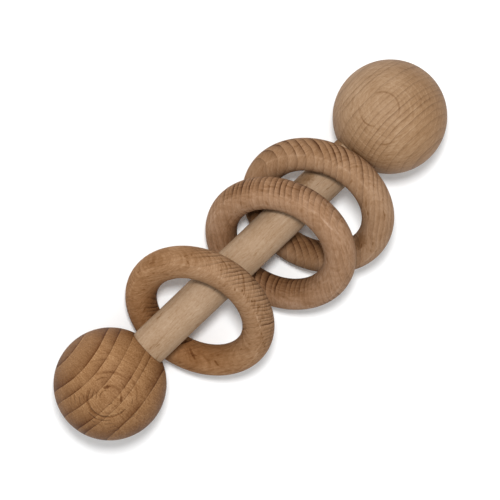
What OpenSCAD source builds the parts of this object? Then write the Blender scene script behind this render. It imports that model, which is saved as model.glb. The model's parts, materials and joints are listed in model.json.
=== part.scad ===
// Wooden baby rattle, lying on a table.
// Two balls are glued on the ends of a round dowel, and three loose rings are
// trapped on the dowel between them. The rings slide along it and knock together.
//
// Millimetres. +X runs along the dowel, +Z is up, the table is the plane Z = 0,
// and the origin is on the table under the middle of the dowel.

/* [Balls] */
// Diameter of each end ball
ball_d = 40; // [38:0.5:40]
// Distance between the centres of the two balls
ball_spacing = 136.4; // [136.4:0.2:150]

/* [Dowel] */
// Diameter of the dowel that the hand holds
dowel_d = 14; // [10:0.5:14]
// Chamfer on the two hidden ends of the dowel
dowel_chamfer = 1; // [0.2:0.1:3]

/* [Glued Joint] */
// Depth of the blind bore, from where the ball's surface would be to the flat bottom
bore_depth = 25; // [15:0.5:30]
// Space for glue between the dowel and the wall of the bore
glue_gap = 0.1; // [0.05:0.05:0.5]
// Space left between the end of the dowel and the bottom of the bore
end_gap = 0.5; // [0.2:0.1:3]
// Full angle of the drill point that ends the bore
drill_point_angle = 118; // [90:1:140]

/* [Rings] */
// Diameter of the round section of each ring
ring_section_d = 11.5; // [9:0.1:11.5]
// Diameter of the hole of each ring
ring_hole_d = 33; // [33:0.5:40]

/* [Left Ring] */
// Centre of the left ring along the dowel
left_ring_x = -27.8; // [-27.8:0.1:-25]
// Sideways offset of the left ring's centre
left_ring_y = -3.6; // [-4:0.1:0]
// Lean of the left ring's plane from the table, in degrees
left_ring_lean = 37.8; // [37.8:0.1:39]
// Turn of the left ring's lean direction from the dowel, in degrees
left_ring_turn = 4; // [0:0.5:5]

/* [Middle And Right Rings] */
// Centre of the right ring along the dowel
right_ring_x = 28.1; // [26:0.1:28.1]
// Distance along the dowel from the middle ring to the right ring
ring_pitch = 18.7; // [18.7:0.1:19.5]
// Sideways offset of the right ring's centre
right_ring_y = -5.5; // [-5.5:0.1:-4]
// Sideways offset of the middle ring's centre
middle_ring_y = -6.1; // [-6.1:0.1:-4]
// Lean of these two parallel rings from the table, in degrees
pair_lean = 38.7; // [38.7:0.1:40]
// Turn of their lean direction from the dowel, in degrees
pair_turn = 3.5; // [0:0.5:5]

/* [Hidden] */
$fn = 96;

LEFT = -1;
RIGHT = 1;
CUT = 1;                       // how far a cut runs out past the surface

ball_r = ball_d / 2;
dowel_r = dowel_d / 2;
axis_z = ball_r;               // the balls stand on the table and carry the dowel
bore_r = dowel_r + glue_gap;
drill_point_h = bore_r / tan(drill_point_angle / 2);
dowel_end_x = ball_spacing / 2 - ball_r + bore_depth - end_gap;

ring_section_r = ring_section_d / 2;
ring_path_r = (ring_hole_d + ring_section_d) / 2;
middle_ring_x = right_ring_x - ring_pitch;

// Beech, a little different on each piece
left_ball_colour = [0.62, 0.45, 0.31];
right_ball_colour = [0.70, 0.56, 0.43];
dowel_colour = [0.73, 0.61, 0.49];
left_ring_colour = [0.58, 0.45, 0.34];
middle_ring_colour = [0.61, 0.47, 0.35];
right_ring_colour = [0.60, 0.46, 0.34];

// The straight hole in a ball, along its own +Z, with its flat bottom at Z = 0
module blind_bore() {
    translate([0, 0, -bore_depth - CUT]) cylinder(h = bore_depth + CUT, r = bore_r);
    cylinder(h = drill_point_h, r1 = bore_r, r2 = 0);
}

// A ball on one end of the dowel, with its bore open towards the other ball
module end_ball(side) {
    translate([side * ball_spacing / 2, 0, axis_z])
        rotate([0, side * 90, 0])
            difference() {
                sphere(r = ball_r);
                translate([0, 0, bore_depth - ball_r]) blind_bore();
            }
}

// A ring leaning on the dowel: its low side is on the table on the left, and its
// high side is over the dowel on the right
module leaning_ring(x, y, lean, turn) {
    centre_z = ring_path_r * sin(lean) + ring_section_r;
    translate([x, y, centre_z])
        rotate([0, -lean, turn])
            rotate_extrude()
                translate([ring_path_r, 0]) circle(r = ring_section_r);
}

module dowel() {
    straight_r = dowel_r - dowel_chamfer;
    straight_x = dowel_end_x - dowel_chamfer;
    color(dowel_colour)
        translate([0, 0, axis_z])
            rotate([0, 90, 0])
                rotate_extrude()
                    polygon([
                        [0, -dowel_end_x],
                        [straight_r, -dowel_end_x],
                        [dowel_r, -straight_x],
                        [dowel_r, straight_x],
                        [straight_r, dowel_end_x],
                        [0, dowel_end_x]
                    ]);
}

module left_ball() {
    color(left_ball_colour) end_ball(LEFT);
}

module right_ball() {
    color(right_ball_colour) end_ball(RIGHT);
}

module left_ring() {
    color(left_ring_colour)
        leaning_ring(left_ring_x, left_ring_y, left_ring_lean, left_ring_turn);
}

module middle_ring() {
    color(middle_ring_colour)
        leaning_ring(middle_ring_x, middle_ring_y, pair_lean, pair_turn);
}

module right_ring() {
    color(right_ring_colour)
        leaning_ring(right_ring_x, right_ring_y, pair_lean, pair_turn);
}

dowel();
left_ball();
right_ball();
left_ring();
middle_ring();
right_ring();
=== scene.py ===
"""Looks of a plain beech baby rattle: a dowel, a ball glued on each end and three loose rings."""

import json
import math
from collections import namedtuple

import bmesh
import bpy
import numpy as np
from mathutils import Euler, Matrix, Vector


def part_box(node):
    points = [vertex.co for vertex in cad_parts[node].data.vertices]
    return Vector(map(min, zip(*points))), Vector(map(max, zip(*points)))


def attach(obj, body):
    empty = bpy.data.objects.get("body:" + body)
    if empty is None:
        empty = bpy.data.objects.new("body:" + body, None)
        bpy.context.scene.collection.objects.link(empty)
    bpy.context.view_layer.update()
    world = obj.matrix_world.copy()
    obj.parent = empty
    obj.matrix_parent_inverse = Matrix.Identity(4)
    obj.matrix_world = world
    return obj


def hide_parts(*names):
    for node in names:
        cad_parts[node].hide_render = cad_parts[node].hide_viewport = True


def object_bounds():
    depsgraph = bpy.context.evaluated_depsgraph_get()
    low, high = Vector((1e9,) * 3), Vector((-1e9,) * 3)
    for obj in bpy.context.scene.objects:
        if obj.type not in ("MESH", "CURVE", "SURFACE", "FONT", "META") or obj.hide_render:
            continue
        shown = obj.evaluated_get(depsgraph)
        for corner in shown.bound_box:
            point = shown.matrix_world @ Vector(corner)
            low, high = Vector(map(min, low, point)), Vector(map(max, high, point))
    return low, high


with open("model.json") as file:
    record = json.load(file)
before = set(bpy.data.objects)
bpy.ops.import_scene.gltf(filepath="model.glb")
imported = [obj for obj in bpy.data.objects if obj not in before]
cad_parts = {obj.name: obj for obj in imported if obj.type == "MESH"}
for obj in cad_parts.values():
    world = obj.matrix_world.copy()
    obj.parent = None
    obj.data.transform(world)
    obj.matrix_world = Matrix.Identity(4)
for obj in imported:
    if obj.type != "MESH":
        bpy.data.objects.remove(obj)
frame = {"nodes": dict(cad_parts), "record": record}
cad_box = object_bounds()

MM = 0.001
RING_NODES = ("left_ring", "middle_ring", "right_ring")

# The ridge on a ring's upper face, where two cuts of the tool meet
RIDGE_ANGLE = {"left_ring": 62, "middle_ring": 55, "right_ring": 60}    # degrees round the section
RIDGE_DEPTH = 0.1 * MM
RIDGE_SLOPE = math.radians(24)      # how far round the section the surface takes to fall away
RIDGE_WIDTH = math.radians(5)       # how far its painted highlight reaches to either side

# Camera: almost straight down on the middle of the dowel, which runs up to the right in the view
CAMERA_TURN = (-10.42, -6.03, -44.52)      # degrees about X, Y and Z
CAMERA_DISTANCE = 0.5125
CAMERA_ASIDE = (0.34 * MM, 0.42 * MM)      # right and up, from looking straight at the middle
CAMERA_LENS = 104.65
CAMERA_SENSOR = 36.0
CAMERA_CLIP_START = 0.01

# Mesh resolution
TURNS = 256
SECTION_STEPS = 96
AXIAL_STEP = 0.5 * MM


# ---------------------------------------------------------------- sizes from the CAD frame

def node_points(node):
    """The corner points of a CAD node, as rows of X, Y, Z."""
    mesh = frame["nodes"][node].data
    points = np.empty(len(mesh.vertices) * 3)
    mesh.vertices.foreach_get("co", points)
    return points.reshape(-1, 3)


def ball_size(node):
    """(centre, radius) of a ball: its widest level extent is across the dowel."""
    low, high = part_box(node)
    radius = (high[2] - low[2]) / 2
    outer_x = low[0] if low[0] < 0 else high[0]
    centre_x = outer_x - math.copysign(radius, outer_x)
    return Vector((centre_x, (low[1] + high[1]) / 2, (low[2] + high[2]) / 2)), radius


Ring = namedtuple("Ring", "centre axis high_side path_radius section_radius")


def ring_size(node):
    """The Ring that a node holds. high_side points to the edge that stands off the table."""
    low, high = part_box(node)
    centre = (np.array(low) + np.array(high)) / 2
    points = node_points(node) - centre
    axis = np.linalg.svd(points.T @ points)[0][:, 2]
    axis = Vector(axis * math.copysign(1, axis[2])).normalized()
    along = points @ np.array(axis)
    across = np.sqrt(np.maximum((points ** 2).sum(axis=1) - along ** 2, 0))
    path_radius = (across.max() + across.min()) / 2
    section_radius = (across.max() - across.min()) / 2
    high_side = (Vector((0, 0, 1)) - axis * axis.z).normalized()
    return Ring(Vector(centre), axis, high_side, path_radius, section_radius)


# ---------------------------------------------------------------- meshes

def new_piece(name, mesh_data):
    """An object from a bmesh, smooth shaded, in the scene."""
    mesh = bpy.data.meshes.new(name)
    mesh_data.normal_update()
    mesh_data.to_mesh(mesh)
    mesh_data.free()
    mesh.shade_smooth()
    piece = bpy.data.objects.new(name, mesh)
    bpy.context.collection.objects.link(piece)
    return piece


def revolve(name, profile, place):
    """A closed turned shape about X, moved by the matrix place.

    profile is (distance along the axis, radius), from tip to tip.
    """
    made = bmesh.new()
    rows = []
    for along, radius in profile:
        if radius == 0:
            rows.append([made.verts.new(place @ Vector((along, 0, 0)))])
            continue
        row = []
        for step in range(TURNS):
            angle = 2 * math.pi * step / TURNS
            point = Vector((along, radius * math.cos(angle), radius * math.sin(angle)))
            row.append(made.verts.new(place @ point))
        rows.append(row)
    for first, second in zip(rows, rows[1:]):
        for step in range(TURNS):
            after = (step + 1) % TURNS
            if len(first) == 1:
                made.faces.new((first[0], second[step], second[after]))
            elif len(second) == 1:
                made.faces.new((first[after], first[step], second[0]))
            else:
                made.faces.new((first[after], first[step], second[step], second[after]))
    bmesh.ops.recalc_face_normals(made, faces=made.faces)
    return new_piece(name, made)


def arc(centre, radius, start, end, steps):
    """Points (along, radius) on an arc, angles in radians from the axis."""
    points = []
    for step in range(steps + 1):
        angle = start + (end - start) * step / steps
        points.append((centre[0] + radius * math.cos(angle), centre[1] + radius * math.sin(angle)))
    return points


BORE_RADIUS = 7.1 * MM
BORE_BOTTOM = 5.0 * MM      # past the ball's centre, away from the mouth
DRILL_POINT = 4.27 * MM
MOUTH_EDGE = 0.35 * MM      # the worn rounding of the bore's mouth
MOUTH_BEND = (0.25, 0.3)    # its middle, along and out, as shares of MOUTH_EDGE


def make_ball(node):
    """A ball with its blind bore, whose mouth has a softly worn edge."""
    centre, radius = ball_size(node)
    side = math.copysign(1, centre.x)
    mouth_angle = math.pi - math.asin((BORE_RADIUS + MOUTH_EDGE) / radius)
    outside = arc((0, 0), radius, 0, mouth_angle, TURNS // 2)
    outside[0] = (radius, 0)
    mouth_x = -math.sqrt(radius ** 2 - (BORE_RADIUS + MOUTH_EDGE) ** 2)
    bend_along, bend_out = MOUTH_BEND
    lip = [(mouth_x + MOUTH_EDGE * bend_along, BORE_RADIUS + MOUTH_EDGE * bend_out),
           (mouth_x + MOUTH_EDGE, BORE_RADIUS)]
    inside = [(BORE_BOTTOM, BORE_RADIUS), (BORE_BOTTOM + DRILL_POINT, 0)]
    place = Matrix.Translation(centre) @ Matrix.Diagonal((side, 1, 1, 1))
    return revolve(node + "_wood", outside + lip + inside, place)


DOWEL_CHAMFER = 1.0 * MM
SANDING_WAVE = 0.03 * MM    # how deep hand sanding has worn the dowel's surface
WAVE_RATES = (310, 137)     # radians for each metre along the dowel
WAVE_START = 1.3            # radians, where the second wave starts


def make_dowel(node):
    """The dowel, worn a hair under its nominal size by sanding, with chamfered ends."""
    low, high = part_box(node)
    centre = Vector(((low[0] + high[0]) / 2, (low[1] + high[1]) / 2, (low[2] + high[2]) / 2))
    radius = (high[2] - low[2]) / 2
    half = (high[0] - low[0]) / 2
    profile = [(-half, 0), (-half, radius - DOWEL_CHAMFER)]
    steps = round(2 * (half - DOWEL_CHAMFER) / AXIAL_STEP)
    for step in range(steps + 1):
        along = -half + DOWEL_CHAMFER + step * AXIAL_STEP
        along = min(along, half - DOWEL_CHAMFER)
        # The two waves add up to between -2 and 2
        wave = math.sin(along * WAVE_RATES[0]) + math.sin(along * WAVE_RATES[1] + WAVE_START)
        profile.append((along, radius - SANDING_WAVE * (2 + wave) / 4))
    profile += [(half, radius - DOWEL_CHAMFER), (half, 0)]
    return revolve(node + "_wood", profile, Matrix.Translation(centre))


def make_ring(node):
    """A turned ring. Its section is two cuts that meet in a faint ridge on its upper face."""
    ring = ring_size(node)
    across = ring.axis.cross(ring.high_side)
    ridge_angle = math.radians(RIDGE_ANGLE[node])
    made = bmesh.new()
    # Each corner keeps how near it lies to the ridge, for the painted highlight along it
    layer = made.verts.layers.float.new("ridge")
    rows = []
    for turn in range(TURNS):
        angle = 2 * math.pi * turn / TURNS
        outward = ring.high_side * math.cos(angle) + across * math.sin(angle)
        row = []
        for step in range(SECTION_STEPS):
            around = 2 * math.pi * step / SECTION_STEPS
            from_ridge = abs((around - ridge_angle + math.pi) % (2 * math.pi) - math.pi)
            ridge_falloff = min(from_ridge / RIDGE_SLOPE, 1)
            radius = ring.section_radius - RIDGE_DEPTH * (1 - (1 - ridge_falloff) ** 2)
            normal = outward * math.cos(around) + ring.axis * math.sin(around)
            vert = made.verts.new(ring.centre + outward * ring.path_radius + normal * radius)
            vert[layer] = max(0, 1 - from_ridge / RIDGE_WIDTH)
            row.append(vert)
        rows.append(row)
    for turn in range(TURNS):
        row, following = rows[turn], rows[(turn + 1) % TURNS]
        for step in range(SECTION_STEPS):
            after = (step + 1) % SECTION_STEPS
            made.faces.new((row[step], following[step], following[after], row[after]))
    bmesh.ops.recalc_face_normals(made, faces=made.faces)
    return new_piece(node + "_wood", made)


# ---------------------------------------------------------------- beech

# Where a Mix node keeps its factor, its two colours and its result
MIX_FACTOR, MIX_FIRST, MIX_SECOND, MIX_RESULT = 0, 6, 7, 2


class Tree:
    """Adds nodes to one material's tree and joins them up."""

    def __init__(self, material):
        material.use_nodes = True
        self.nodes = material.node_tree.nodes
        self.links = material.node_tree.links
        self.nodes.clear()

    def add(self, kind, inputs=(), **settings):
        node = self.nodes.new("ShaderNode" + kind)
        for key, value in settings.items():
            setattr(node, key, value)
        for key, value in dict(inputs).items():
            self.put(node.inputs[key], value)
        return node

    def put(self, socket, value):
        """Links value into a socket, or sets it there when it is a constant."""
        if isinstance(value, bpy.types.NodeSocket):
            self.links.new(value, socket)
        else:
            socket.default_value = value

    def math(self, operation, *values, clamp=False):
        return self.add("Math", enumerate(values), operation=operation, use_clamp=clamp).outputs[0]

    def times(self, *values):
        """The product of several values."""
        total = values[0]
        for value in values[1:]:
            total = self.math("MULTIPLY", total, value)
        return total

    def vector(self, operation, *values):
        node = self.add("VectorMath", enumerate(values), operation=operation)
        return node.outputs["Value" if operation in ("DOT_PRODUCT", "LENGTH") else "Vector"]

    def join(self, x, y, z):
        return self.add("CombineXYZ", {"X": x, "Y": y, "Z": z}).outputs[0]

    def noise(self, place, scale, detail=2.0, roughness=0.5):
        """Noise about 0.5 at place, a vector, whose axes are multiplied by scale."""
        scaled = self.vector("MULTIPLY", place, scale)
        inputs = {"Vector": scaled, "Scale": 1.0, "Detail": detail, "Roughness": roughness}
        return self.add("TexNoise", inputs).outputs["Fac"]

    def shift(self, place, scale, reach):
        """place moved by up to about reach, by a noise of the given scale."""
        inputs = {"Vector": place, "Scale": scale, "Detail": 2.0}
        moved = self.add("TexNoise", inputs).outputs["Color"]
        moved = self.vector("SUBTRACT", moved, (0.5, 0.5, 0.5))
        moved = self.vector("MULTIPLY", moved, (2 * reach, 2 * reach, 2 * reach))
        return self.vector("ADD", place, moved)

    def step(self, value, low, high, to_low=0.0, to_high=1.0):
        """A smooth step of value from to_low at low to to_high at high."""
        inputs = {"Value": value, "From Min": low, "From Max": high,
                  "To Min": to_low, "To Max": to_high}
        return self.add("MapRange", inputs, interpolation_type="SMOOTHSTEP").outputs["Result"]

    def about_one(self, value, amount):
        """1 plus amount times how far value is from one half."""
        return self.math("MULTIPLY_ADD", self.math("SUBTRACT", value, 0.5), amount, 1.0)

    def less(self, value, amount):
        """1 less amount times value."""
        return self.math("MULTIPLY_ADD", value, -amount, 1.0)

    def mix(self, factor, first, second, blend="MIX"):
        node = self.add("Mix", data_type="RGBA", blend_type=blend)
        self.put(node.inputs[MIX_FACTOR], factor)
        self.put(node.inputs[MIX_FIRST], first)
        self.put(node.inputs[MIX_SECOND], second)
        return node.outputs[MIX_RESULT]


def linear(red, green, blue):
    """A linear colour from sRGB display values of 0 to 255."""
    def one(value):
        value /= 255
        return value / 12.92 if value <= 0.04045 else ((value + 0.055) / 1.055) ** 2.4
    return (one(red), one(green), one(blue), 1.0)


YEAR_START = 22.0           # mm from the pith
YEAR_UNEVEN = (0.35, 2.0)   # noise waves in a year's width, and how many years it can add

# Wander of the grain: noise scale for each mm, and reach in mm
SLOW_WANDER = (0.045, 3.0)
QUICK_WANDER = (0.5, 0.35)

# Noise scales for each mm: out from the pith, round it, and along the fibres
PATCH_SCALE = (0.12, 0.12, 0.05)
STREAK_SCALE = (0.9, 0.9, 0.03)
PORE_SCALE = (2.4, 2.4, 0.9)
FLECK_SCALE = (0.9, 1.3, 0.2)
FINE_RAY_SCALE = (0.12, 2.6, 0.4)
COARSE_RAY_SCALE = (0.14, 1.3, 0.5)

# Noise scales for each mm along X, Y and Z
BLOTCH_SCALE = (0.1, 0.1, 0.1)
RIDGE_HIGHLIGHT_SCALE = (0.15, 0.15, 0.15)

# Noise values between which a feature comes in, and its strength at both if not 0 and 1
PATCH_STEP = (0.3, 0.6, 0.5, 1.0)
FLECK_STEP = (0.62, 0.74)
COARSE_RAY_STEP = (0.55, 0.68)
RIDGE_HIGHLIGHT_STEP = (0.45, 0.6)

# Parts of a growth year: its last line comes in, it stops, and the next year's fresh wood fades
LAST_LINE = (0.88, 0.97)
LAST_LINE_ADDS = 0.25
YEAR_STOP = (0.99, 1.0, 1.0, 0.3)
FRESH_WOOD = (0.0, 0.12, 1.0, 0.0)
FRESH_WOOD_ADDS = 0.14

END_GRAIN_FACING = (0.3, 0.95)  # cosine of the normal to the fibres, from side to end grain
COARSE_RAY_ON_SIDE = 0.4        # how strong coarse rays are on side grain, against 1 on end grain

# Relief of each feature, where a mark of depth 1 is cut 1 deep
LATE_WOOD_RISE = 0.6
STREAK_RISE = 0.5
PORE_RISE = 0.4
RAY_RISE = -0.6
FLECK_RISE = -0.6
BASE_BUMP = 0.08 * MM           # how deep that is, for a bump of 1

MOTTLE = 0.4                    # how much slow blotches lighten and darken
STREAK_SHADE = 0.9              # how much streaks of strength 1 lighten and darken
RED_POWER = 0.74                # how a shade falls on red and on blue, against 1 on green
BLUE_POWER = 1.35
SHADE_REDNESS_GREEN_POWER = 0.4         # how the painted shade's redness falls on green, against 1 on blue
ROUGHNESS = 0.62


def count_years(tree, distance, year, shrink, years):
    """How many growth years end before a distance from the pith, with a fraction.

    years lists the distances at which they end, or year is the width of a year at the distance
    YEAR_START, and shrink how fast they narrow after it.
    """
    if not years:
        waves, reach = YEAR_UNEVEN
        uneven = tree.noise(tree.join(distance, 0.0, 0.0), (waves / year, 1, 1))
        beyond = tree.math("SUBTRACT", distance, YEAR_START)
        narrowing = tree.math("MULTIPLY_ADD", beyond, shrink, 1.0)
        even = tree.times(beyond, narrowing, 1 / year)
        return tree.math("MULTIPLY_ADD", uneven, reach, even)
    span = years[-1] - years[0]
    ramp = tree.add("ValToRGB")
    stops = ramp.color_ramp.elements
    last = len(years) - 1
    for number, end in enumerate(years):
        position = (end - years[0]) / span
        if number == 0:
            stop = stops[0]
        elif number == last:
            stop = stops[-1]
        else:
            stop = stops.new(position)
        stop.color = (number / last, number / last, number / last, 1)
    scaled = tree.math("DIVIDE", tree.math("SUBTRACT", distance, years[0]), span)
    tree.links.new(scaled, ramp.inputs[0])
    return tree.math("MULTIPLY", ramp.outputs[0], float(last))


def beech(name, centre, fibre, pith, light, dark, year=2.0, shrink=0.0, years=None, late=1.0,
          late_sharpness=3.0, side_grain=1.0, faintest=0.4, warp=0.6, bend=0.0, streaks=0.5,
          rays=0.4, coarse_rays=0.2, flecks=0.2, pores=0.6, end_grain_and_painted_light=0.1, painted_shading_slope=(0, 0, 0),
          painted_shade_redness=(0, 0, 0), ridge=0.0, marks=(), bump=1.0, gloss=0.04):
    """Bare turned beech as a solid of growth layers round a pith, cut by the piece's own surface.

    centre is the piece's middle in metres. fibre is the way the grain runs. pith is where the
    tree's middle lies from the piece's centre, in millimetres. year, shrink and years are as in
    count_years. late is how dark a year ends and late_sharpness how late in it the wood darkens.
    side_grain is how strongly the growth lines show on side grain, against 1 on end grain.
    faintest is the strength of the faintest growth year, against 1 for the strongest. warp is how
    far the grain wanders, and bend how fast the fibres curve towards the pith. streaks, rays,
    coarse_rays, flecks and pores are how strongly each shows. end_grain_and_painted_light is how
    much darker end grain is; below 0 it is painted light, which makes end grain lighter.
    painted_shading_slope and painted_shade_redness are painted shading: how much lighter and how
    much redder the wood becomes for each millimetre along X, Y and Z. ridge is how much lighter a
    ring's ridge is, a painted highlight. bump is the relief against BASE_BUMP, and gloss the
    shader's specular level.
    """
    material = bpy.data.materials.new(name)
    tree = Tree(material)
    fibre = Vector(fibre).normalized()
    pith = Vector(pith)
    pith -= fibre * pith.dot(fibre)
    outward = -pith.normalized()
    sideways = fibre.cross(outward)

    coords = tree.add("TexCoord")
    place = tree.vector("SUBTRACT", coords.outputs["Object"], tuple(centre))
    place = tree.vector("MULTIPLY", place, (1 / MM, 1 / MM, 1 / MM))
    normal = coords.outputs["Normal"]

    # The grain is never quite straight: a slow and a quick wander move the layers
    moved = place
    for scale, reach in (SLOW_WANDER, QUICK_WANDER):
        moved = tree.shift(moved, scale, reach * warp)
    from_pith = tree.vector("SUBTRACT", moved, tuple(pith))
    out = tree.vector("DOT_PRODUCT", from_pith, tuple(outward))
    side = tree.vector("DOT_PRODUCT", from_pith, tuple(sideways))
    along = tree.vector("DOT_PRODUCT", from_pith, tuple(fibre))
    out = tree.math("MULTIPLY_ADD", tree.times(along, along), bend, out)
    distance = tree.vector("LENGTH", tree.join(out, side, 0.0))
    swing = tree.times(tree.math("ARCTAN2", side, out), pith.length)
    grain = tree.join(distance, swing, along)

    # End grain drinks more light and shows the growth layers and the rays best
    facing = tree.math("ABSOLUTE", tree.vector("DOT_PRODUCT", normal, tuple(fibre)))
    ends = tree.step(facing, *END_GRAIN_FACING)
    shows = tree.math("MULTIPLY_ADD", ends, 1 - side_grain, side_grain)

    # Growth years: each darkens slowly to its end and stops there in a crisp line
    phase = count_years(tree, distance, year, shrink, years)
    in_year = tree.math("FRACT", phase)
    which = tree.math("FLOOR", phase)
    strength = tree.add("TexWhiteNoise", {"W": which}, noise_dimensions="1D").outputs["Value"]
    strength = tree.math("MULTIPLY_ADD", strength, 1 - faintest, faintest)
    patchy = tree.step(tree.noise(grain, PATCH_SCALE, detail=1), *PATCH_STEP)
    late_wood = tree.math("POWER", in_year, late_sharpness)
    last_line = tree.step(in_year, *LAST_LINE)
    late_wood = tree.math("MULTIPLY_ADD", last_line, LAST_LINE_ADDS, late_wood)
    stopping = tree.step(in_year, *YEAR_STOP)
    late_wood = tree.times(late_wood, stopping, strength, patchy, shows)

    # Fibre streaks, fine pores, dark flecks, and rays: thin sheets that run out from the pith
    streak = tree.noise(grain, STREAK_SCALE, detail=5, roughness=0.65)
    pore = tree.noise(grain, PORE_SCALE, roughness=0.7)
    fleck = tree.step(tree.noise(grain, FLECK_SCALE), *FLECK_STEP)
    fine_ray = tree.noise(grain, FINE_RAY_SCALE)
    coarse_ray = tree.step(tree.noise(grain, COARSE_RAY_SCALE), *COARSE_RAY_STEP)
    ray_shows = tree.math("MULTIPLY_ADD", ends, 1 - COARSE_RAY_ON_SIDE, COARSE_RAY_ON_SIDE)
    coarse_ray = tree.times(coarse_ray, ray_shows)
    blotch = tree.noise(place, BLOTCH_SCALE)

    colour = tree.mix(tree.math("MULTIPLY", late_wood, late, clamp=True), light, dark)
    fresh = tree.times(tree.step(in_year, *FRESH_WOOD), strength, shows)
    shade = tree.times(
        tree.about_one(streak, STREAK_SHADE * streaks),
        tree.about_one(blotch, MOTTLE),
        tree.about_one(pore, pores),
        tree.about_one(fine_ray, rays),
        tree.less(coarse_ray, coarse_rays),
        tree.less(fleck, flecks),
        # End grain is darkened; a negative amount lightens it instead, as painted light
        tree.less(ends, end_grain_and_painted_light),
        tree.less(fresh, -FRESH_WOOD_ADDS * late),
        # Painted shading: lighter one way across the piece and darker the other
        tree.math("ADD", tree.vector("DOT_PRODUCT", place, painted_shading_slope), 1.0))

    # Late wood stands proud of the surface, rays and flecks lie a little below it
    height = tree.times(late_wood, LATE_WOOD_RISE)
    relief = ((streak, STREAK_RISE), (pore, PORE_RISE * pores),
              (coarse_ray, RAY_RISE * coarse_rays), (fleck, FLECK_RISE * flecks))
    for part, weight in relief:
        height = tree.math("MULTIPLY_ADD", part, weight, height)

    # A painted highlight along a ring's ridge, shown in patches by a noise
    if ridge:
        ridge_falloff = tree.add("Attribute", attribute_name="ridge").outputs["Fac"]
        highlight_patches = tree.step(tree.noise(place, RIDGE_HIGHLIGHT_SCALE), *RIDGE_HIGHLIGHT_STEP)
        ridge_falloff = tree.times(ridge_falloff, highlight_patches)
        shade = tree.times(shade, tree.math("MULTIPLY_ADD", ridge_falloff, ridge, 1.0))

    for mark in marks:
        cut, darkness, depth = mark(tree, place)
        shade = tree.times(shade, tree.less(cut, darkness))
        height = tree.math("MULTIPLY_ADD", cut, -depth, height)

    # Darker wood is redder too
    # The redness slope is painted shading, redder one way across the piece
    redder = tree.math("ADD", tree.vector("DOT_PRODUCT", place, painted_shade_redness), 1.0)
    tint = tree.join(
        tree.math("POWER", shade, RED_POWER),
        tree.math("DIVIDE", shade, tree.math("POWER", redder, SHADE_REDNESS_GREEN_POWER)),
        tree.math("DIVIDE", tree.math("POWER", shade, BLUE_POWER), redder))
    colour = tree.mix(1.0, colour, tint, blend="MULTIPLY")
    bumps = tree.add("Bump", {"Height": height, "Distance": BASE_BUMP * bump, "Strength": 1.0})
    shader = tree.add("BsdfPrincipled", {"Base Color": colour, "Normal": bumps.outputs[0]})
    shader.inputs["Roughness"].default_value = ROUGHNESS
    shader.inputs["Specular IOR Level"].default_value = gloss
    result = tree.add("OutputMaterial", {"Surface": shader.outputs[0]})
    result.is_active_output = True
    return material


# ---------------------------------------------------------------- marks
# Each makes a function that gives (where the mark is, how dark it is, how deep it is cut)

TOOL_CUT_DEPTH = 0.8
CHATTER_JITTER_SCALE = (0.12, 0.12, 0.12)
CHATTER_JITTER = 1.6                # how many rings' spacing they wander by
CHATTER_BREAK_SCALE = (0.2, 0.2, 0.2)
CHATTER_BREAK_STEP = (0.5, 0.58)
CHATTER_LINE = 0.2                  # half the width of a ring's line, in spacings
CHATTER_FADE = 0.6                  # of the reach, where the rings begin to fade
TURNED_LINE_SCALE = (0.35, 0.35, 0.35)
TURNED_LINE_FADE = 0.15             # softness of an arc's ends, in the cosine of its half angle
SPOT_FRAY_SCALE = 1.2
SPOT_FRAY = 0.2                     # of the width
SPOT_CORE = 0.45                    # of the half length and width, where it begins to fade
RING_LOW_SIDE = (-10.0, 6.0, 1.0, 0.0)  # mm up a ring's plane between which it goes from 1 to 0
RING_ARC_OVERSHOOT = 1.2            # a spot fades at its ends, so it is longer than the arc


def chatter(pole, spacing, reach, darkness):
    """Broken rings that a lathe tool leaves round a pole of a ball."""
    pole = Vector(pole).normalized()

    def mark(tree, place):
        along = tree.vector("DOT_PRODUCT", place, tuple(pole))
        off = tree.vector("LENGTH", tree.vector("CROSS_PRODUCT", place, tuple(pole)))
        jitter = tree.noise(place, CHATTER_JITTER_SCALE, detail=1)
        rings = tree.math("DIVIDE", off, spacing)
        phase = tree.math("MULTIPLY_ADD", jitter, CHATTER_JITTER, rings)
        line = tree.math("ABSOLUTE", tree.math("SUBTRACT", tree.math("FRACT", phase), 0.5))
        line = tree.step(line, 0.0, CHATTER_LINE, 1.0, 0.0)
        broken = tree.step(tree.noise(place, CHATTER_BREAK_SCALE, detail=3), *CHATTER_BREAK_STEP)
        near = tree.step(off, reach * CHATTER_FADE, reach, 1.0, 0.0)
        front = tree.math("GREATER_THAN", along, 0.0)
        return tree.times(line, broken, near, front), darkness, TOOL_CUT_DEPTH
    return mark


def turned_line(pole, radius, width, toward, half_angle, darkness, wobble=0.0):
    """An arc that a tool has scratched round a pole of a ball, on the side toward points to."""
    pole = Vector(pole).normalized()
    toward = Vector(toward)
    toward -= pole * toward.dot(pole)
    edge = math.cos(math.radians(half_angle))

    def mark(tree, place):
        along = tree.vector("DOT_PRODUCT", place, tuple(pole))
        off = tree.vector("LENGTH", tree.vector("CROSS_PRODUCT", place, tuple(pole)))
        uneven = tree.noise(place, TURNED_LINE_SCALE, detail=3)
        off = tree.math("MULTIPLY_ADD", uneven, 2 * wobble, off)
        miss = tree.math("ABSOLUTE", tree.math("SUBTRACT", off, radius + wobble))
        line = tree.step(miss, 0.0, width, 1.0, 0.0)
        turned = tree.vector("DOT_PRODUCT", place, tuple(toward.normalized() / radius))
        here = tree.step(turned, edge - TURNED_LINE_FADE, edge + TURNED_LINE_FADE)
        front = tree.math("GREATER_THAN", along, 0.0)
        return tree.times(line, here, front), darkness, TOOL_CUT_DEPTH
    return mark


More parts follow.
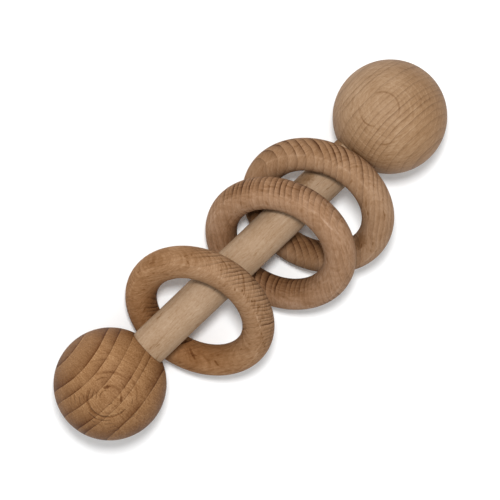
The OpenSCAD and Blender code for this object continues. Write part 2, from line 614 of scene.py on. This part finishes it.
def spot(at, way, length, width, darkness, depth=0.5):
    """A dark fleck or crack at a place from the centre, all in millimetres, lying along way.

    A negative darkness makes it lighter than the wood round it.
    """
    turn = Vector(way).to_track_quat("X", "Z").to_euler()

    def mark(tree, place):
        frayed = tree.shift(place, SPOT_FRAY_SCALE, width * SPOT_FRAY)
        inside = tree.add("Mapping", {"Vector": frayed}, vector_type="TEXTURE")
        inside.inputs["Location"].default_value = at
        inside.inputs["Rotation"].default_value = turn
        inside.inputs["Scale"].default_value = (length / 2, width / 2, width / 2)
        far = tree.vector("LENGTH", inside.outputs[0])
        return tree.step(far, SPOT_CORE, 1.0, 1.0, 0.0), darkness, depth
    return mark


def ring_way(node, turn, rise=0):
    """A direction turned from a ring's high side in its plane, and raised from that plane."""
    ring = ring_size(node)
    across = ring.axis.cross(ring.high_side)
    turn, rise = math.radians(turn), math.radians(rise)
    level = ring.high_side * math.cos(turn) + across * math.sin(turn)
    return level * math.cos(rise) + ring.axis * math.sin(rise)


def ring_place(node, turn, around):
    """The place on a ring's surface, in mm from its centre, at an angle round its section."""
    ring = ring_size(node)
    outward = ring_way(node, turn)
    around = math.radians(around)
    skin = outward * math.cos(around) + ring.axis * math.sin(around)
    return tuple((outward * ring.path_radius + skin * ring.section_radius) / MM)


def ring_crack(node, turn, around, way, length, width, darkness, depth=0.5):
    """A crack or stain on a ring, which runs along way, an angle in the ring's plane."""
    return spot(ring_place(node, turn, around), ring_way(node, way), length, width, darkness, depth)


def ring_inside(node, darkness):
    """The inner wall of a ring's low side, painted darker to stand in for deep shade."""
    ring = ring_size(node)
    wall = (ring.path_radius - ring.section_radius) / MM
    crown = ring.path_radius / MM

    def mark(tree, place):
        off = tree.vector("LENGTH", tree.vector("CROSS_PRODUCT", place, tuple(ring.axis)))
        rise = tree.vector("DOT_PRODUCT", place, tuple(ring.high_side))
        low_side = tree.step(rise, *RING_LOW_SIDE)
        return tree.times(tree.step(off, wall, crown, 1.0, 0.0), low_side), darkness, 0.0
    return mark


def ring_arc(node, start, end, width, darkness):
    """A dark line over a ring's surface between two places, each a (turn, around) pair."""
    first, last = Vector(ring_place(node, *start)), Vector(ring_place(node, *end))
    between = ring_place(node, (start[0] + end[0]) / 2, (start[1] + end[1]) / 2)
    way = last - first
    return spot(between, way, way.length * RING_ARC_OVERSHOOT, width, darkness)


# ---------------------------------------------------------------- the six pieces

left_centre, ball_radius = ball_size("left_ball")
right_centre, ball_radius = ball_size("right_ball")

pieces = {}
for ball in ("left_ball", "right_ball"):
    pieces[ball] = make_ball(ball)
pieces["dowel"] = make_dowel("dowel")
for ring in RING_NODES:
    pieces[ring] = make_ring(ring)

body_of_node = {}
for body, nodes in frame["record"]["behaviour"]["bodies"].items():
    for node in nodes:
        body_of_node[node] = body
for node, piece in pieces.items():
    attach(piece, body_of_node[node])
    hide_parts(node)


LATHE_POLE = (-0.02, 0.05, 1.0)     # the left ball was turned about this way
LATHE_ARC_WIDTH = 0.7
LATHE_ARC_WOBBLE = 0.5
RING_PITH_DISTANCE = 60.0           # mm from a ring's centre

# The arcs that the lathe left on the left ball: radius, side, half their angle, darkness
lathe_arcs = (
    (7.2, (-0.9, 0.42, 0), 40, 0.45), (8.8, (0.75, 0.66, 0), 28, 0.45),
    (6.9, (-0.5, -0.86, 0), 35, 0.4), (9.9, (0.9, -0.42, 0), 20, 0.4),
    (4.4, (0.99, 0.1, 0), 45, 0.35))
left_ball_marks = [chatter(LATHE_POLE, spacing=1.5, reach=17, darkness=0.4)]
for radius, side, half_angle, darkness in lathe_arcs:
    left_ball_marks.append(turned_line(
        LATHE_POLE, radius, LATHE_ARC_WIDTH, side, half_angle, darkness, LATHE_ARC_WOBBLE))
left_ball_marks += [
    spot((1.9, 4.0, 19.5), (1, -0.8, 0), 3.0, 1.5, 0.65),
    spot((2.5, -2.5, 19.7), (0.7, 0.7, 0), 2.8, 1.3, 0.65),
    # A lighter patch, painted to make up for too dark a shade on this side
    spot((-0.5, 19.5, 3.5), (1, 0, -0.1), 18, 8, -0.35, 0.0)]

finishes = {
    "left_ball": beech(
        "left_ball_beech", left_centre, fibre=(0.17, 0.3, 0.94), pith=(-3.8, 38.1, -4.1),
        light=linear(130, 92, 57), dark=linear(79, 42, 12),
        years=[8, 15, 22, 29.4, 33.7, 38.6, 44.5, 46.8, 52.4, 59], late=0.82, late_sharpness=1.7,
        side_grain=1.35, faintest=0.75, warp=0.16, streaks=0.3, rays=0.8, coarse_rays=0.15,
        # Lighter end grain here is painted light on the middle that faces the lamp, and the slope
        # along Y is painted shading
        flecks=0.12, pores=1.6, end_grain_and_painted_light=-0.45, painted_shading_slope=(0, -0.004, 0), bump=2.8, gloss=0.12,
        marks=left_ball_marks),
    "right_ball": beech(
        "right_ball_beech", right_centre, fibre=(1.0, 0.0, 0.0), pith=(0, -470.24, 170.1),
        light=linear(144, 111, 79), dark=linear(96, 64, 37), year=1.95, late=0.65,
        faintest=0.15, warp=0.4, bend=0.006, streaks=0.85, rays=0.6,
        # The lightness and redness slopes are painted shading
        painted_shading_slope=(-0.003, 0.0, 0.005), painted_shade_redness=(0, -0.006, -0.004), gloss=0.2,
        marks=[turned_line((-0.084, 0.387, 0.918), 5.9, 0.5, (0.9, 0.05, 0), 62, 0.35),
               turned_line((-0.219, 0.44, 0.891), 4.7, 0.5, (-1, -0.03, 0.06), 36, 0.42),
               turned_line((-0.379, 0.013, 0.965), 3.0, 0.6, (-0.557, -0.807, 0.196), 32, 0.45),
               # Painted shade, standing in for the dark crevice under the ring that leans here
               spot((-17.5, -2.0, 9.3), (1.7, -11.4, 0.4), 15, 4.2, 0.5, 0.0)]),
    "dowel": beech(
        "dowel_beech", (0, 0, ball_radius), fibre=(1, 0.01, 0), pith=(0, 30, -50),
        light=linear(158, 132, 106), dark=linear(130, 101, 75), year=2.2, late=0.25, warp=0.4,
        streaks=0.7, rays=0.3, coarse_rays=0.15, flecks=0.34, bump=0.6,
        marks=[spot((-30.8, -5.4, 4.4), (1, 0, 0), 2.6, 1.8, 0.16, 0.0),
               # These stand in for deep shade on both sides of the right ring
               spot((49.2, 6.9, 1.2), (1, 0, 0), 9, 9, 0.6, 0.0),
               spot((32.3, 6.0, 3.6), (1, 0, 0), 17, 8.5, 0.42, 0.0)]),
}

# pith, fibre: angles in a ring's plane from its high side. rise: the pith's angle off that plane.
# inside: darkness of the inner wall. cracks: turn, around, way, length, width, darkness and
# perhaps depth of cracks, flecks and stains; the stains, of depth 0, are painted shading, and those
# of negative darkness are painted highlights on the ridge.
# arcs: start, end, width and darkness.
ring_looks = {
    "left_ring": dict(
        fibre=-20, pith=70, rise=-30, inside=0.3,
        light=linear(147, 110, 77), dark=linear(72, 42, 22), year=1.3, side_grain=0.14, late=1.4,
        # The redness slope is painted shading
        rays=0.9, coarse_rays=0.45, flecks=0.45, painted_shade_redness=(-0.005, 0.0, -0.007),
        cracks=[(17.7, 38, 43, 3.2, 0.6, 0.45), (0.3, 65, 43, 3.6, 0.6, 0.5),
                (-4.3, 50, 43, 4.0, 0.6, 0.55), (-15.7, 50, 43, 3.6, 0.6, 0.5),
                (-47, 61, 43, 2.2, 0.6, 0.5), (92, 46, -20, 2.2, 0.9, 0.4),
                (77, 79, -20, 2.0, 0.6, 0.4), (85, 80, -20, 2.2, 0.6, 0.35),
                # The one of negative darkness is a painted highlight on the ridge
                (119, 76, -20, 2.6, 0.5, 0.3), (-35, 62.5, 55, 10, 0.8, -0.35),
                # Two stains of painted shade
                (42, 8, 132, 18, 10, 0.2, 0.0), (70, 28, 160, 18, 10, 0.2, 0.0)],
        arcs=[((-154, 168), (-140, 118), 1.4, 0.5), ((-119, 133), (-114, 104), 1.2, 0.5)]),
    "middle_ring": dict(
        fibre=52, pith=142, rise=0, inside=0.4,
        light=linear(150, 117, 90), dark=linear(75, 46, 26), year=1.8, side_grain=0.2, late=1.5,
        rays=0.7, coarse_rays=0.3, flecks=0.3,
        # A painted highlight on the ridge, then a stain of painted shade
        cracks=[(-6, 54.5, 84, 10, 0.8, -0.3), (70, 30, 160, 26, 9, 0.22, 0.0)]),
    "right_ring": dict(
        fibre=39, pith=129, rise=42, inside=0.4,
        light=linear(146, 114, 86), dark=linear(74, 44, 24), year=4.0, shrink=0.011,
        # The lightness slope is painted shading
        side_grain=0.32, late=1.4, rays=0.5, flecks=0.35, painted_shading_slope=(0.0035, -0.0035, 0),
        cracks=[(-33, 105, 39, 3.2, 0.6, 0.5), (-76, 112, 39, 3.2, 0.8, 0.45),
                # The two of depth 0 are stains of painted shade
                (-66, 80, 39, 2.4, 0.6, 0.5), (142, 105, 52, 14, 12, 0.4, 0.0),
                (-73, 126, 17, 10, 6, 0.4, 0.0)]),
}
for node, look in ring_looks.items():
    look["pith"] = ring_way(node, look["pith"], look.pop("rise")) * RING_PITH_DISTANCE
    look["fibre"] = ring_way(node, look["fibre"])
    look["marks"] = [ring_crack(node, *crack) for crack in look.pop("cracks")]
    look["marks"] += [ring_arc(node, *ends) for ends in look.pop("arcs", ())]
    look["marks"].append(ring_inside(node, look.pop("inside")))
    finishes[node] = beech(
        node + "_beech", ring_size(node).centre, late_sharpness=2.0, streaks=0.7, ridge=0.24,
        bump=1.1, **look)
for node, finish in finishes.items():
    pieces[node].data.materials.append(finish)


# ---------------------------------------------------------------- floor, light and camera

FLOOR_REACH = 1.5
FLOOR_GAP = 0.01 * MM
FLOOR_WHITE = (0.965, 0.975, 0.98, 1)
FLOOR_ROUGHNESS = 0.9
KEY_TOWARD = (0.15, 0.30, 0.94)     # from the rattle's middle
KEY_DISTANCE = 0.52
KEY_SIZE = 0.075
KEY_POWER = 2.24                    # watts
SKY_STRENGTH = 0.635


def make_floor():
    """A plain pale floor just under the rattle."""
    made = bmesh.new()
    bmesh.ops.create_grid(made, x_segments=8, y_segments=8, size=FLOOR_REACH)
    floor = new_piece("floor", made)
    floor.location.z = cad_box[0][2] - FLOOR_GAP
    material = bpy.data.materials.new("floor_white")
    material.use_nodes = True
    shader = material.node_tree.nodes["Principled BSDF"]
    shader.inputs["Base Color"].default_value = FLOOR_WHITE
    shader.inputs["Roughness"].default_value = FLOOR_ROUGHNESS
    floor.data.materials.append(material)


def make_light(name, toward, distance, size, power):
    """A square soft box that faces the middle of the rattle from the direction toward."""
    light = bpy.data.lights.new(name, "AREA")
    light.size = size
    light.energy = power
    lamp = bpy.data.objects.new(name, light)
    way = Vector(toward).normalized()
    lamp.location = middle + way * distance
    lamp.rotation_euler = way.to_track_quat("Z", "Y").to_euler()
    bpy.context.collection.objects.link(lamp)


middle = Vector((0, 0, ball_radius))
make_floor()
make_light("top_softbox", KEY_TOWARD, KEY_DISTANCE, KEY_SIZE, KEY_POWER)

world = bpy.data.worlds.new("studio")
world.use_nodes = True
sky = world.node_tree.nodes["Background"]
sky.inputs["Color"].default_value = (1, 1, 1, 1)
sky.inputs["Strength"].default_value = SKY_STRENGTH
bpy.context.scene.world = world

camera = bpy.data.cameras.new("camera")
camera.lens = CAMERA_LENS
camera.sensor_width = CAMERA_SENSOR
camera.clip_start = CAMERA_CLIP_START
viewer = bpy.data.objects.new("camera", camera)
facing = Euler([math.radians(angle) for angle in CAMERA_TURN], "YXZ")
viewer.rotation_mode = "YXZ"
viewer.rotation_euler = facing
viewer.location = middle + facing.to_matrix() @ Vector((*CAMERA_ASIDE, CAMERA_DISTANCE))
bpy.context.collection.objects.link(viewer)
bpy.context.scene.camera = viewer
bpy.context.scene.view_settings.view_transform = "Standard"
